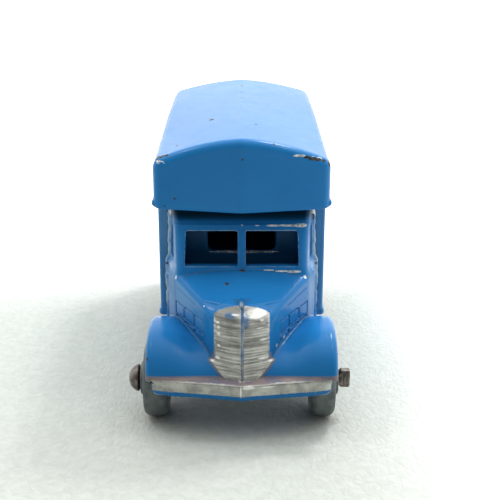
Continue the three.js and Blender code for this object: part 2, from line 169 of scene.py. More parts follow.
def cab_details(d, ax, y, z):
    side = door_side(ax, y)
    # door shut line on the cab side, with its handle
    line = np.abs(panel(y, z, -14.0, -10.25, 8.1, 16.3, 0.4)) - 0.09
    d = cut(d, np.maximum(line, np.abs(side) - 0.12), 0.06)
    pull = np.sqrt((np.maximum(np.abs(y + 10.9) - 0.4, 0)) ** 2 + (z - 14.9) ** 2 + (side - 0.02) ** 2) - 0.17
    return joined(d, pull, 0.08)


GRILLE_Z = (5.8, 7.2, 9.75, 11.8, 13.8, 14.2, 14.5, 14.8, 15.1, 15.35, 15.55, 15.75)
GRILLE_Y = (-26.5, -26.25, -25.65, -25.25, -24.85, -24.68, -24.4, -24.02, -23.55, -23.0, -22.4, -21.6)


def grille_plan(ax):
    return 0.3 * np.sqrt(ax * ax + 0.02) + 0.04 * ax * ax - 0.042


def grille_face(ax, y, z):
    lean = np.interp(z, (13.9, 14.35, 14.65, 14.95, 15.2, 15.45, 15.65), (0.9, 0.7, 0.6, 0.53, 0.42, 0.32, 0.25))
    return (np.interp(z, GRILLE_Z, GRILLE_Y) + grille_plan(ax) - y) * lean


def nose_face(ax, y, z):
    return (np.interp(np.minimum(z, 15.2), GRILLE_Z, GRILLE_Y) + grille_plan(ax) + 0.19 - y) * 0.9


def bonnet_planes(ax, y, z):
    w = np.maximum(8.3 + 0.566 * (y + 15), 1.0)
    side = (ax - w) / 1.149
    nose = np.maximum(-20.5 - y, 0)
    top = z - (17.12 + 0.175 * (y + 14.8) - 0.9 * (ax / w) ** 2 - 0.045 * nose * nose)
    return side, top


def bonnet_field(ax, y, z):
    side, top = bonnet_planes(ax, y, z)
    d = rounded(side, top, 0.5)
    d = np.maximum(d, y + 13.5)
    d = rounded(d, nose_face(ax, y, z), 0.3)
    return np.maximum(d, 6.5 - z)


def bonnet_details(d, ax, y, z):
    side, top = bonnet_planes(ax, y, z)
    # long groove below the shoulder
    zg = 14.72 + 0.117 * (y + 16.65)
    run = np.maximum(slab(y, -19.9, -15.7), 0)
    d = cut(d, np.sqrt(side ** 2 + (z - zg) ** 2 + run ** 2) - 0.1, 0.06)
    # two rows of sunk louvre panels
    for z0, z1 in ((11.42, 12.98), (9.72, 11.14)):
        for y0, y1 in ((-17.12, -15.22), (-19.36, -17.4), (-21.5, -19.64)):
            cell = np.maximum(panel(y, z, y0, y1, z0, z1, 0.12), slab(side, -0.03, 3))
            d = cut(d, cell, 0.04)
            seam = np.maximum(np.abs(panel(y, z, y0, y1, z0, z1, 0.12)) - 0.08, slab(side, -0.13, 3))
            d = cut(d, seam, 0.06)
    return d


HALF_Z = (6.2, 7.2, 9.1, 9.4, 13.8, 14.5, 15.0, 15.4, 15.8, 16.1)
HALF_X = (1.35, 1.75, 3.66, 3.25, 3.22, 3.15, 3.0, 2.65, 2.0, 1.0)
TIERS = ((6.4, 9.4), (9.4, 11.58), (11.58, 13.55), (13.55, 16.6))
TIER_Z, TIER_OUT = [], []
for a, b in TIERS:
    TIER_Z += [a + 0.01, a + 0.07, a + 0.17, a + 0.36, a + 0.6, (a + b) / 2, b - 0.26, b - 0.09, b - 0.01]
    TIER_OUT += [-0.2, -0.14, 0.09, 0.1, 0.03, 0.05, 0.02, -0.1, -0.2]
TIER_OUT[0:5] = [0.0, 0.0, 0.0, 0.02, 0.04]
TIER_OUT[-3:] = [0.05, 0.05, 0.05]


def grille_field(ax, y, z):
    half = np.interp(z, HALF_Z, HALF_X)
    out = np.interp(z, TIER_Z, TIER_OUT)
    lobe = 0.1 * np.exp(-(((ax - 1.5) / 1.1) ** 2)) * ease(z, 13.9, 14.6)
    d = rounded(grille_face(ax, y, z) - (out + lobe) * 0.75, (ax - half) * 0.88, 0.24)
    d = np.maximum(d, np.maximum(y + 21.8, 6.3 - z))
    # centre rib and the small ornament on top of it
    rib = rounded(ax - 0.2, grille_face(0.0, y, z) - 0.16, 0.15)
    rib = np.maximum(rib, np.maximum(y + 22.0, slab(z, 6.6, 15.9)))
    d = joined(d, rib, 0.1)
    tip = (np.sqrt((ax / 0.26) ** 2 + ((y + 22.75) / 0.95) ** 2 + ((z - 15.72) / 0.36) ** 2) - 1) * 0.26
    return joined(d, tip, 0.12)


def wing_arch(ax, y, z, top):
    ry = np.where(y < -19.2, 6.2, 7.2)
    rz = top - 6.2
    u = (y + 19.2) / ry
    v = np.maximum(z - 6.2, 0) / rz
    n = 2.25
    u = np.abs(u) + 1e-4
    k = (u ** n + v ** n) ** (1 / n) + 0.02
    return (k - 1.02) * k ** (n - 1) / (np.sqrt((u ** (n - 1) / ry) ** 2 + (v ** (n - 1) / rz) ** 2) + 0.004)


def wing_field(ax, y, z):
    top = 10.3 + 1.37 * ease(ax, 5.2, 9.4)
    d = rounded(wing_arch(ax, y, z, top), ax - 11.28, 0.85)
    foot = np.where(y < FRONT_Y, np.where(ax < 8.6, 5.3, 6.9), 5.3) - z
    return rounded(d, foot, 0.12)


BUMP_Z = (5.0, 5.1, 5.3, 5.48, 5.6, 5.78, 6.5, 7.1, 7.35, 7.6)
BUMP_IN = (0.5, 0.36, 0.24, 0.22, 0.17, 0.04, 0.0, 0.05, 0.22, 0.5)


def bumper_field(ax, y, z):
    vee = np.sqrt(ax * ax + 0.03)
    front = (-27.0 + 0.162 * vee + np.interp(z, BUMP_Z, BUMP_IN) - y) * 0.97
    d = rounded(front, ax - 10.62, 0.75)
    d = rounded(d, z - 7.35, 0.22)
    d = rounded(d, 5.15 - z, 0.2)
    return np.maximum(d, y + 24.2)


def body_field(x, y, z):
    ax = np.abs(x)
    d = rear_field(box_field(ax, y, z), ax, y, z)
    d = joined(d, cab_details(cab_field(ax, y, z), ax, y, z), 0.22)
    wing = wing_field(ax, y, z)
    bonnet = bonnet_details(bonnet_field(ax, y, z), ax, y, z)
    hood = joined(bonnet, wing, 0.45)
    d = joined(d, hood, 0.32)
    d = joined(d, grille_field(ax, y, z), 0.22)
    d = joined(d, bumper_field(ax, y, z), 0.45)

    # hollow of the box
    inner = rounded(ax - 9.65, roof_field(ax, y, z) + 1.1, 0.6)
    inner = rounded(inner, slab(y, -8.6, TAIL - 1.0), 0.4)
    d = cut(d, inner, 0.1)
    # hollow of the cab, the bonnet and the wings
    lo, up = screen_planes(y, z)
    cabin = rounded(ax - 8.0 - 0.2 * (y + 9.6) + 0.06 * np.maximum(z - 16.5, 0), np.maximum(lo + 1.15, np.maximum(up + 0.9, -13.95 - y)), 0.5)
    cabin = np.maximum(cabin, np.maximum(y + 9.6, z - 28.4))
    cabin = np.maximum(cabin, (z > 24.0) * (-12.4 - y))
    d = cut(d, cabin, 0.12)
    side, top = bonnet_planes(ax, y, z)
    under = np.maximum(np.maximum(side + 1.15, top + 1.4), slab(y, -22.8, -13.0))
    d = cut(d, under, 0.15)
    belly = np.maximum(wing_arch(ax, y, z, 10.3) + 1.35, np.maximum(ax - 6.4, slab(y, -24.0, -12.0)))
    d = cut(d, belly, 0.15)
    d = cut(d, np.maximum(np.maximum(ax - 6.4, slab(y, -14.0, -8.4)), z - 10.8), 0.1)
    d = cut(d, np.maximum(np.abs(y - FRONT_Y) - 1.1, np.maximum(z - 5.8, ax - 9)), 0.1)
    # wheel arches
    for yc in (FRONT_Y, REAR_Y):
        arch = np.maximum(np.sqrt((y - yc) ** 2 + (z - AXLE_Z) ** 2) - 5.35, 7.4 - ax)
        d = cut(d, arch, 0.14)
    # open windows
    pane = panel(ax + 0.0465 * (z - 17.45) * ease(ax, 3, 6), z, 0.5, 7.0, 17.45, 21.75, 0.22)
    d = cut(d, np.maximum(pane, slab(y, -18, -12)), 0.1)
    light = panel(y - 0.14 * (z - 17.7) * ease(y, -11.4, -12.6), z, -13.0, -10.9, 17.7, 21.7, 0.25)
    d = cut(d, np.maximum(light, 5 - ax), 0.1)
    hatch = panel(ax, z, -9, 4.35, 17.5, 21.6, 0.75)
    d = cut(d, np.maximum(hatch, slab(y, -10.4, -7.8)), 0.08)
    # posts for the base rivets
    for yc, y0, y1 in ((-6.7, -9.2, -6.7), (23.7, 23.7, 26.1)):
        r = np.sqrt(ax * ax + (y - yc) ** 2)
        post = np.minimum(r - 1.7, np.maximum(ax - 1.0, slab(y, y0, y1)))
        d = joined(d, np.maximum(post, slab(z, 10.75, 16.4)), 0.12)
        d = cut(d, np.maximum(r - 0.78, z - 14.6), 0.05)
    return d


def base_field(x, y, z):
    ax = np.abs(x)
    plan = np.minimum(panel(ax, y, -9, 9.38, -8.32, 25.22, 0.5), panel(ax, y, -6, 5.98, -13.68, -7, 0.4))
    d = rounded(plan, slab(z, 9.7, 10.5), 0.12)
    rail = np.maximum(slab(ax, 2.4, 4.4), slab(y, -23.2, 24.2))
    rail = rounded(rail, 3.5 - z, 0.3)
    rail = rounded(rail, np.where(y > -14.4, z - 9.9, z - 6.9 + 0.13 * (-15.2 - y)), 0.2)
    rail = rounded(rail, (y - 24.2 + (4.9 - z) * 0.6) * 0.85, 0.2)
    rail = rounded(rail, (-23.2 - y + (4.3 - z) * 0.9) * 0.74, 0.2)
    slope = (z - 9.9 + 1.7 * (-13.4 - y)) * 0.5
    rail = np.where(y > -15.4, np.maximum(rail, np.minimum(slope, z - 6.9)), rail)
    d = joined(d, rail, 0.3)
    for y0, y1 in ((-22.6, -21.2), (-12.6, -11.2), (2.0, 3.4), (20.4, 21.8)):
        bar = rounded(np.maximum(slab(y, y0, y1), ax - 2.7), slab(z, 3.9, 5.6), 0.25)
        d = joined(d, bar, 0.25)
    for yc, reach in ((FRONT_Y, 6.0), (REAR_Y, 6.5)):
        r = np.sqrt((y - yc) ** 2 + (z - AXLE_Z) ** 2)
        lug = rounded(r - 1.75, slab(ax, 2.4, reach), 0.2)
        d = joined(d, lug, 0.3)
        d = cut(d, r - 0.88, 0.06)
    # stiffening ribs between the rails and the plate edge
    for yc in (-4.0, 8.0, 22.0):
        fin = rounded(np.maximum(np.abs(y - yc) - 0.35, slab(ax, 4.2, 8.6)), np.maximum(z - 9.9, 8.4 + 0.28 * (ax - 4.4) - z), 0.15)
        d = joined(d, fin, 0.2)
    edge = rounded(np.abs(plan + 0.45) - 0.4, slab(z, 9.2, 9.9), 0.12)
    d = joined(d, np.maximum(edge, -8.3 - y), 0.15)
    for yc in (-6.7, 23.7):
        d = cut(d, np.maximum(np.sqrt(ax * ax + (y - yc) ** 2) - 0.78, slab(z, 7, 14)), 0.04)
    d = cut(d, np.maximum(np.sqrt((y - REAR_Y) ** 2 + (z - AXLE_Z) ** 2) - 5.02, 6.65 - ax), 0.1)
    return d


# ---------------------------------------------------------------- meshing a field
def steps(*runs):
    """Grid lines from (end, spacing) runs, the first pair being the start."""
    out = [runs[0]]
    for end, gap in runs[1:]:
        n = max(1, round((end - out[-1]) / (gap * COARSE)))
        out += list(np.linspace(out[-1], end, n + 1)[1:])
    return np.array(out)


def field_on_grid(field, xs, ys, zs):
    F = np.empty((len(xs), len(ys), len(zs)), np.float32)
    X = xs[:, None, None].astype(np.float32)
    Z = zs[None, None, :].astype(np.float32)
    for j in range(0, len(ys), 12):
        Y = ys[None, j:j + 12, None].astype(np.float32)
        F[:, j:j + 12, :] = field(X, Y, Z)
    return F


def surface(F, axes):
    """Dual surface of F = 0: one vertex in each cell that the surface crosses, one quad on each crossed grid line."""
    S = F < 0
    nx, ny, nz = F.shape
    count = np.zeros((nx - 1, ny - 1, nz - 1), np.uint8)
    for i in (0, 1):
        for j in (0, 1):
            for k in (0, 1):
                count += S[i:nx - 1 + i, j:ny - 1 + j, k:nz - 1 + k]
    mixed = (count > 0) & (count < 8)
    cells = np.array(np.nonzero(mixed))
    index = np.full(mixed.shape, -1, np.int64)
    index[mixed] = np.arange(cells.shape[1])
    total = np.zeros((cells.shape[1], 3))
    hits = np.zeros(cells.shape[1])
    for axis in range(3):
        u, v = [a for a in range(3) if a != axis]
        for du in (0, 1):
            for dv in (0, 1):
                p = cells.copy()
                p[u] += du
                p[v] += dv
                q = p.copy()
                q[axis] += 1
                f, g = F[tuple(p)].astype(float), F[tuple(q)].astype(float)
                m = (f < 0) != (g < 0)
                t = f[m] / (f[m] - g[m])
                at = np.empty((int(m.sum()), 3))
                at[:, u] = axes[u][p[u][m]]
                at[:, v] = axes[v][p[v][m]]
                a0, a1 = axes[axis][p[axis][m]], axes[axis][q[axis][m]]
                at[:, axis] = a0 + t * (a1 - a0)
                total[m] += at
                hits[m] += 1
    verts = total / hits[:, None]
    quads = []
    for axis in range(3):
        u, v = (axis + 1) % 3, (axis + 2) % 3
        lo = [slice(None)] * 3
        hi = [slice(None)] * 3
        lo[axis], hi[axis] = slice(None, -1), slice(1, None)
        cross = np.array(np.nonzero(S[tuple(lo)] != S[tuple(hi)]))
        keep = (cross[u] > 0) & (cross[v] > 0) & (cross[u] < F.shape[u] - 1) & (cross[v] < F.shape[v] - 1)
        cross = cross[:, keep]
        ring = []
        for du, dv in ((-1, -1), (0, -1), (0, 0), (-1, 0)):
            c = cross.copy()
            c[u] += du
            c[v] += dv
            ring.append(index[tuple(c)])
        ring = np.stack(ring, 1)
        inside_first = S[tuple(cross)]
        ring[~inside_first] = ring[~inside_first][:, ::-1]
        quads.append(ring)
    return verts, np.concatenate(quads)


def gradient(field, p, h):
    g = np.empty(p.shape)
    for a in range(3):
        e = np.zeros(3)
        e[a] = h
        q, r = p + e, p - e
        g[:, a] = (field(q[:, 0], q[:, 1], q[:, 2]) - field(r[:, 0], r[:, 1], r[:, 2])) / (2 * h)
    return g


def settled(field, p, rounds=2):
    """Moves points onto the surface."""
    for _ in range(rounds):
        f = field(p[:, 0], p[:, 1], p[:, 2])
        g = gradient(field, p, 0.02)
        move = (f / np.maximum((g * g).sum(1), 0.2))[:, None] * g
        size = np.maximum(np.linalg.norm(move, axis=1), 1e-9)
        p = p - move * np.minimum(1, 0.12 / size)[:, None]
    return p


def cast(name, field, xs, ys, zs, most, keep=None):
    """Meshes a field that is mirrored about X = 0 and thins the flat parts to at most `most` triangles."""
    F = field_on_grid(field, xs, ys, zs)
    full = np.concatenate([F[:0:-1], F])
    axes = (np.concatenate([-xs[:0:-1], xs]), ys, zs)
    v, q = surface(full, axes)
    v = settled(field, v)
    me = bpy.data.meshes.new(name)
    me.from_pydata((v * MM).tolist(), [], q.tolist())
    ob = bpy.data.objects.new(name, me)
    bpy.context.scene.collection.objects.link(ob)
    if 2 * len(q) > most:
        flat = np.zeros(len(v))
        bend = curvature(field, v, 0.35)
        flat = np.where(np.abs(bend) > 0.12, 0.02, 1.0)
        if keep is not None:
            flat = np.minimum(flat, keep(v))
        group = ob.vertex_groups.new(name="thin")
        for w in np.unique(flat):
            group.add(np.nonzero(flat == w)[0].tolist(), float(w), "REPLACE")
        mod = ob.modifiers.new("thin", "DECIMATE")
        mod.ratio = most / (2 * len(q))
        mod.vertex_group = "thin"
        mod.vertex_group_factor = 8
        graph = bpy.context.evaluated_depsgraph_get()
        thin = bpy.data.meshes.new_from_object(ob.evaluated_get(graph))
        ob.modifiers.clear()
        ob.vertex_groups.clear()
        old = ob.data
        ob.data = thin
        bpy.data.meshes.remove(old)
        thin.name = name
    return ob


def curvature(field, p, h):
    """Sum of the surface's bends at p: positive on outward edges, negative in grooves."""
    c = -6 * field(p[:, 0], p[:, 1], p[:, 2])
    for a in range(3):
        e = np.zeros(3)
        e[a] = h
        q, r = p + e, p - e
        c = c + field(q[:, 0], q[:, 1], q[:, 2]) + field(r[:, 0], r[:, 1], r[:, 2])
    return c / h


def points_of(me):
    v = np.empty(len(me.vertices) * 3, np.float32)
    me.vertices.foreach_get("co", v)
    return v.reshape(-1, 3).astype(float) / MM


def mark(me, name, values):
    me.attributes.new(name, "FLOAT", "POINT").data.foreach_set("value", np.asarray(values, np.float32))


def shade_by_field(ob, field, h=0.05):
    me = ob.data
    p = points_of(me)
    n = gradient(field, p, h)
    steep = np.linalg.norm(n, axis=1)
    n /= np.maximum(steep, 1e-9)[:, None]
    steep = np.maximum(steep, 0.3)
    me.polygons.foreach_set("use_smooth", np.ones(len(me.polygons), bool))
    me.normals_split_custom_set_from_vertices(n.tolist())
    mark(me, "edge", np.clip(curvature(field, p, 0.22) / steep, -1.5, 1.5))
    mark(me, "fold", np.clip(curvature(field, p, 0.6) / steep, -1.5, 1.5))


xs = steps(0.0, (0.4, 0.1), (3.8, 0.14), (9.9, 0.2), (11.0, 0.12), (11.75, 0.15))
ys = steps(-27.3, (-22.4, 0.12), (-9.0, 0.17), (8.6, 0.7), (20.6, 0.32), (25.6, 0.7), (27.2, 0.12))
zs = steps(4.9, (7.6, 0.12), (9.2, 0.11), (14.4, 0.105), (16.9, 0.125), (22.6, 0.17), (26.2, 0.16), (29.6, 0.4), (34.0, 0.17))
body = cast("van_body", body_field, xs, ys, zs, 185000)
shade_by_field(body, body_field)

xs = steps(0.0, (9.5, 0.2))
ys = steps(-23.7, (25.7, 0.3))
zs = steps(2.5, (10.9, 0.17))
base = cast("van_base", base_field, xs, ys, zs, 60000)
shade_by_field(base, base_field)


# ------------------------------------------------------------------ turned pieces
def turned(name, profile, sides, along, at=(0, 0, 0), flip=False):
    """Revolves (radius, distance) points, in millimetres, about X or Z. A profile that starts and ends on the axis is capped, any other closes on itself."""
    bm = bmesh.new()
    rings = []
    for r, a in profile:
        if flip:
            a = -a
        if r < 1e-6:
            rings.append([bm.verts.new(((a, 0, 0) if along == "X" else (0, 0, a)))])
            continue
        ring = []
        for i in range(sides):
            t = 2 * math.pi * i / sides
            c, s = r * math.cos(t), r * math.sin(t)
            ring.append(bm.verts.new((a, c, s) if along == "X" else (c, s, a)))
        rings.append(ring)
    if len(rings[0]) > 1:
        rings.append(rings[0])
    for low, high in zip(rings, rings[1:]):
        for i in range(sides):
            j = (i + 1) % sides
            if len(low) == 1:
                bm.faces.new((low[0], high[j], high[i]))
            elif len(high) == 1:
                bm.faces.new((low[i], low[j], high[0]))
            else:
                bm.faces.new((low[i], low[j], high[j], high[i]))
    bmesh.ops.recalc_face_normals(bm, faces=bm.faces)
    bmesh.ops.scale(bm, verts=bm.verts, vec=(MM, MM, MM))
    me = bpy.data.meshes.new(name)
    bm.to_mesh(me)
    bm.free()
    ob = bpy.data.objects.new(name, me)
    ob.location = [c * MM for c in at]
    bpy.context.scene.collection.objects.link(ob)
    me.polygons.foreach_set("use_smooth", np.ones(len(me.polygons), bool))
    me.set_sharp_from_angle(angle=math.radians(40))
    return ob


def eased(points, r, n=4):
    """The closed or open profile with its corners rounded to radius r (or each point's own third value)."""
    out = []
    closed = points[0][0] > 1e-6
    m = len(points)
    for i, p in enumerate(points):
        radius = p[2] if len(p) > 2 else r
        if (not closed and i in (0, m - 1)) or radius <= 0:
            out.append((p[0], p[1]))
            continue
        a, b, c = (np.array(points[k % m][:2], float) for k in (i - 1, i, i + 1))
        u, v = a - b, c - b
        lu, lv = np.linalg.norm(u), np.linalg.norm(v)
        k = min(radius, 0.45 * lu, 0.45 * lv)
        s, e = b + u / lu * k, b + v / lv * k
        for t in np.linspace(0, 1, n + 1):
            w = (1 - t) ** 2 * s + 2 * t * (1 - t) * b + t * t * e
            out.append((float(w[0]), float(w[1])))
    return out


WHEEL = eased([
    (0.872, -1.95, 0.05), (1.95, -1.95, 0.2), (2.1, -1.2, 0.15), (3.45, -1.22, 0.15), (3.85, -1.45, 0.2),
    (4.3, -1.45, 0.35), (4.62, -0.9, 0.4), (4.65, 0.0, 0.5), (4.6, 0.9, 0.4), (4.2, 1.42, 0.4), (3.75, 1.45, 0.2),
    (3.35, 1.08, 0.2), (2.15, 1.12, 0.15), (2.02, 1.95, 0.2), (1.3, 1.95, 0.08), (1.15, 1.85, 0.05), (0.872, 1.85, 0.04),
], 0.1)


def nail_profile(end):
    """A domed head that begins at -end, and the shank up to the crimp at +end."""
    return eased([
        (0, -end - 1.35), (0.5, -end - 1.31, 0.2), (1.0, -end - 1.11, 0.3), (1.42, -end - 0.75, 0.3), (1.68, -end - 0.28, 0.2), (1.64, -end - 0.11, 0.1),
        (1.45, -end, 0.08), (0.8, -end, 0.03), (0.8, end + 0.35, 0.1), (0, end + 0.45),
    ], 0.1)


RIVET = eased([
    (0, 8.9), (0.6, 8.96, 0.2), (1.1, 9.15, 0.2), (1.4, 9.42, 0.1), (1.36, 9.6, 0.04), (0.65, 9.6, 0.03), (0.65, 14.0, 0.1), (0.4, 14.3, 0.05), (0, 14.3),
], 0.1)


def crimp(name, end, at):
    """The squeezed end of a nail axle."""
    bm = bmesh.new()
    nx, nt = 14, 28
    rings = []
    for i in range(nx + 1):
        t = i / nx
        x = end - 0.1 + 1.45 * t
        s = float(ease(np.array(t), 0.0, 0.28))
        hy, hz = 0.8 + (0.56 - 0.8) * s, 0.8 + (1.1 - 0.8) * s
        tip = max(0.0, (t - 0.9) / 0.1)
        hy -= 0.1 * tip * tip
        hz -= 0.12 * tip * tip
        power = 2 + 6 * s
        ring = []
        for k in range(nt):
            a = 2 * math.pi * k / nt
            c, q = math.cos(a), math.sin(a)
            r = (abs(c) ** power + abs(q) ** power) ** (-1 / power)
            grip = 0.035 * s * math.sin(x * 16) * abs(c)
            ring.append(bm.verts.new((x, (hy - grip) * r * c, hz * r * q)))
        rings.append(ring)
    for low, high in zip(rings, rings[1:]):
        for k in range(nt):
            bm.faces.new((low[k], low[(k + 1) % nt], high[(k + 1) % nt], high[k]))
    bm.faces.new(rings[-1])
    bm.faces.new(rings[0][::-1])
    bmesh.ops.recalc_face_normals(bm, faces=bm.faces)
    bmesh.ops.scale(bm, verts=bm.verts, vec=(MM, MM, MM))
    me = bpy.data.meshes.new(name)
    bm.to_mesh(me)
    bm.free()
    me.polygons.foreach_set("use_smooth", np.ones(len(me.polygons), bool))
    me.set_sharp_from_angle(angle=math.radians(35))
    ob = bpy.data.objects.new(name, me)
    ob.location = [c * MM for c in at]
    bpy.context.scene.collection.objects.link(ob)
    return ob


wheels, axles = [], []
for end, y, shift, mid in (("front", FRONT_Y, -0.28, 10.05), ("rear", REAR_Y, 0.12, 8.85)):
    nail = turned(end + "_nail", nail_profile(mid + 2.1), 48, "X", (shift, y, AXLE_Z))
    flat = crimp(end + "_nail_crimp", mid + 2.1, (shift, y, AXLE_Z))
    with bpy.context.temp_override(active_object=nail, selected_editable_objects=[nail, flat], selected_objects=[nail, flat]):
        bpy.ops.object.join()
    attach(nail, end + "_axle_set")
    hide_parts(end + "_axle")
    axles.append(nail)
    for name, x, flip in (("left", -mid, True), ("right", mid, False)):
        w = turned(end + "_" + name + "_disc", WHEEL, 96, "X", (x + shift, y, AXLE_Z), flip)
        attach(w, end + "_" + name)
        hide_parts(end + "_" + name + "_wheel")
        wheels.append(w)
rivets = []
for name, y in (("front", -6.7), ("rear", 23.7)):
    r = turned(name + "_rivet_head", RIVET, 40, "Z", (0, y, 0))
    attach(r, "van")
    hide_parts(name + "_base_rivet")
    rivets.append(r)
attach(body, "van")
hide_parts("body_casting")
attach(base, "van")
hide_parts("base_casting")


# ---------------------------------------------------------------------- materials
class Nodes:
    """Short hand for building a material."""

    def __init__(self, name):
        self.mat = bpy.data.materials.new(name)
        self.mat.use_nodes = True
        self.tree = self.mat.node_tree
        self.tree.nodes.clear()
        self.out = self.tree.nodes.new("ShaderNodeOutputMaterial")
        self.shader = self.tree.nodes.new("ShaderNodeBsdfPrincipled")
        self.link(self.shader.outputs[0], self.out.inputs[0])
        self.place = self.tree.nodes.new("ShaderNodeTexCoord").outputs["Object"]

    def link(self, a, b):
        self.tree.links.new(a, b)

    def put(self, socket, value):
        if hasattr(value, "is_linked") or isinstance(value, bpy.types.NodeSocket):
            self.link(value, socket)
        else:
            socket.default_value = value

    def math(self, op, a, b=None, c=None, clamp=False):
        n = self.tree.nodes.new("ShaderNodeMath")
        n.operation = op
        n.use_clamp = clamp
        for s, v in zip(n.inputs, (a, b, c)):
            if v is not None:
                self.put(s, v)
        return n.outputs[0]

    def vector(self, op, a, b=None):
        n = self.tree.nodes.new("ShaderNodeVectorMath")
        n.operation = op
        self.put(n.inputs[0], a)
        if b is not None:
            self.put(n.inputs[1], b)
        return n.outputs["Value"] if op in ("LENGTH", "DISTANCE", "DOT_PRODUCT") else n.outputs[0]

    def noise(self, scale, detail=4.0, rough=0.55, at=None, distort=0.0):
        n = self.tree.nodes.new("ShaderNodeTexNoise")
        self.link(at or self.place, n.inputs["Vector"])
        n.inputs["Scale"].default_value = scale
        n.inputs["Detail"].default_value = detail
        n.inputs["Roughness"].default_value = rough
        n.inputs["Distortion"].default_value = distort
        return n.outputs["Fac"]

    def ramp(self, value, lo, hi, out0=0.0, out1=1.0, smooth=True):
        n = self.tree.nodes.new("ShaderNodeMapRange")
        n.interpolation_type = "SMOOTHSTEP" if smooth else "LINEAR"
        n.clamp = True
        for s, v in zip(("Value", "From Min", "From Max", "To Min", "To Max"), (value, lo, hi, out0, out1)):
            self.put(n.inputs[s], v)
        return n.outputs["Result"]

    def mix(self, fac, a, b):
        n = self.tree.nodes.new("ShaderNodeMix")
        n.data_type = "RGBA"
        self.put(n.inputs["Factor"], fac)
        self.put(n.inputs["A"], a if not isinstance(a, tuple) else (*a, 1) if len(a) == 3 else a)
        self.put(n.inputs["B"], b if not isinstance(b, tuple) else (*b, 1) if len(b) == 3 else b)
        return n.outputs["Result"]

    def attribute(self, name):
        n = self.tree.nodes.new("ShaderNodeAttribute")
        n.attribute_name = name
        return n.outputs["Fac"]

    def bump(self, height, strength, distance, normal=None):
        n = self.tree.nodes.new("ShaderNodeBump")
        n.inputs["Strength"].default_value = strength
        n.inputs["Distance"].default_value = distance
        self.link(height, n.inputs["Height"])
        if normal is not None:
            self.link(normal, n.inputs["Normal"])
        return n.outputs[0]

    def axes(self):
        n = self.tree.nodes.new("ShaderNodeSeparateXYZ")
        v = self.vector("MULTIPLY", self.place, (1000.0, 1000.0, 1000.0))
        self.link(v, n.inputs[0])
        return n.outputs[0], n.outputs[1], n.outputs[2]

    def set(self, **values):
        for k, v in values.items():
            self.put(self.shader.inputs[k.replace("_", " ")], v)


def srgb(r, g, b):
    return tuple(((c / 255) / 12.92 if c / 255 <= 0.04045 else ((c / 255 + 0.055) / 1.055) ** 2.4) for c in (r, g, b))


# chips through the paint: centre and half sizes, in millimetres
CHIPS = (
    (-10.05, -13.45, 30.72, 0.48, 0.5, 0.3), (-9.5, -13.8, 31.0, 0.5, 0.36, 0.24), (-8.9, -14.1, 31.2, 0.4, 0.26, 0.17),
    (7.7, -14.95, 31.2, 0.5, 0.2, 0.15), (8.4, -14.78, 31.0, 0.55, 0.3, 0.25), (9.1, -14.58, 30.82, 0.45, 0.3, 0.2),
    (9.75, -14.3, 30.6, 0.32, 0.26, 0.2), (10.42, -14.0, 30.15, 0.22, 0.36, 0.42),
    (-3.92, -2.16, 32.99, 0.3, 0.42, 0.4), (1.79, -6.94, 33.4, 0.15, 0.24, 0.3), (-7.85, -11.26, 31.74, 0.15, 0.2, 0.3), (3.78, -15.26, 32.87, 0.12, 0.15, 0.2),
    (0.0, 20.4, 33.47, 0.13, 0.3, 0.4), (-0.05, 14.7, 33.49, 0.11, 0.26, 0.4), (0.04, 10.6, 33.5, 0.1, 0.2, 0.4), (0.0, 4.2, 33.54, 0.09, 0.18, 0.4), (0.03, -4.5, 33.6, 0.08, 0.15, 0.4),
    (-1.76, -18.21, 16.46, 0.27, 0.36, 0.4), (0.1, -15.35, 17.02, 0.36, 0.3, 0.14), (-10.93, -24.1, 9.3, 0.22, 0.3, 0.3),
    (8.85, -10.55, 22.5, 0.3, 0.3, 0.55), (-9.27, -14.89, 25.18, 0.1, 0.12, 0.1), (-10.5, -25.1, 6.9, 0.25, 0.4, 0.28),
    (10.5, 26.3, 30.4, 0.35, 0.35, 0.7), (-10.6, 26.2, 12.2, 0.25, 0.35, 0.6), (-10.55, 8.0, 30.6, 0.3, 0.5, 0.22), (10.6, 19.8, 9.0, 0.3, 0.6, 0.25),
    (10.66, 2.0, 25.25, 0.4, 0.8, 0.16), (-10.66, -5.5, 25.25, 0.4, 0.6, 0.15), (-10.66, 14.0, 25.3, 0.4, 0.35, 0.16), (11.25, -17.8, 10.9, 0.3, 0.5, 0.25),
)
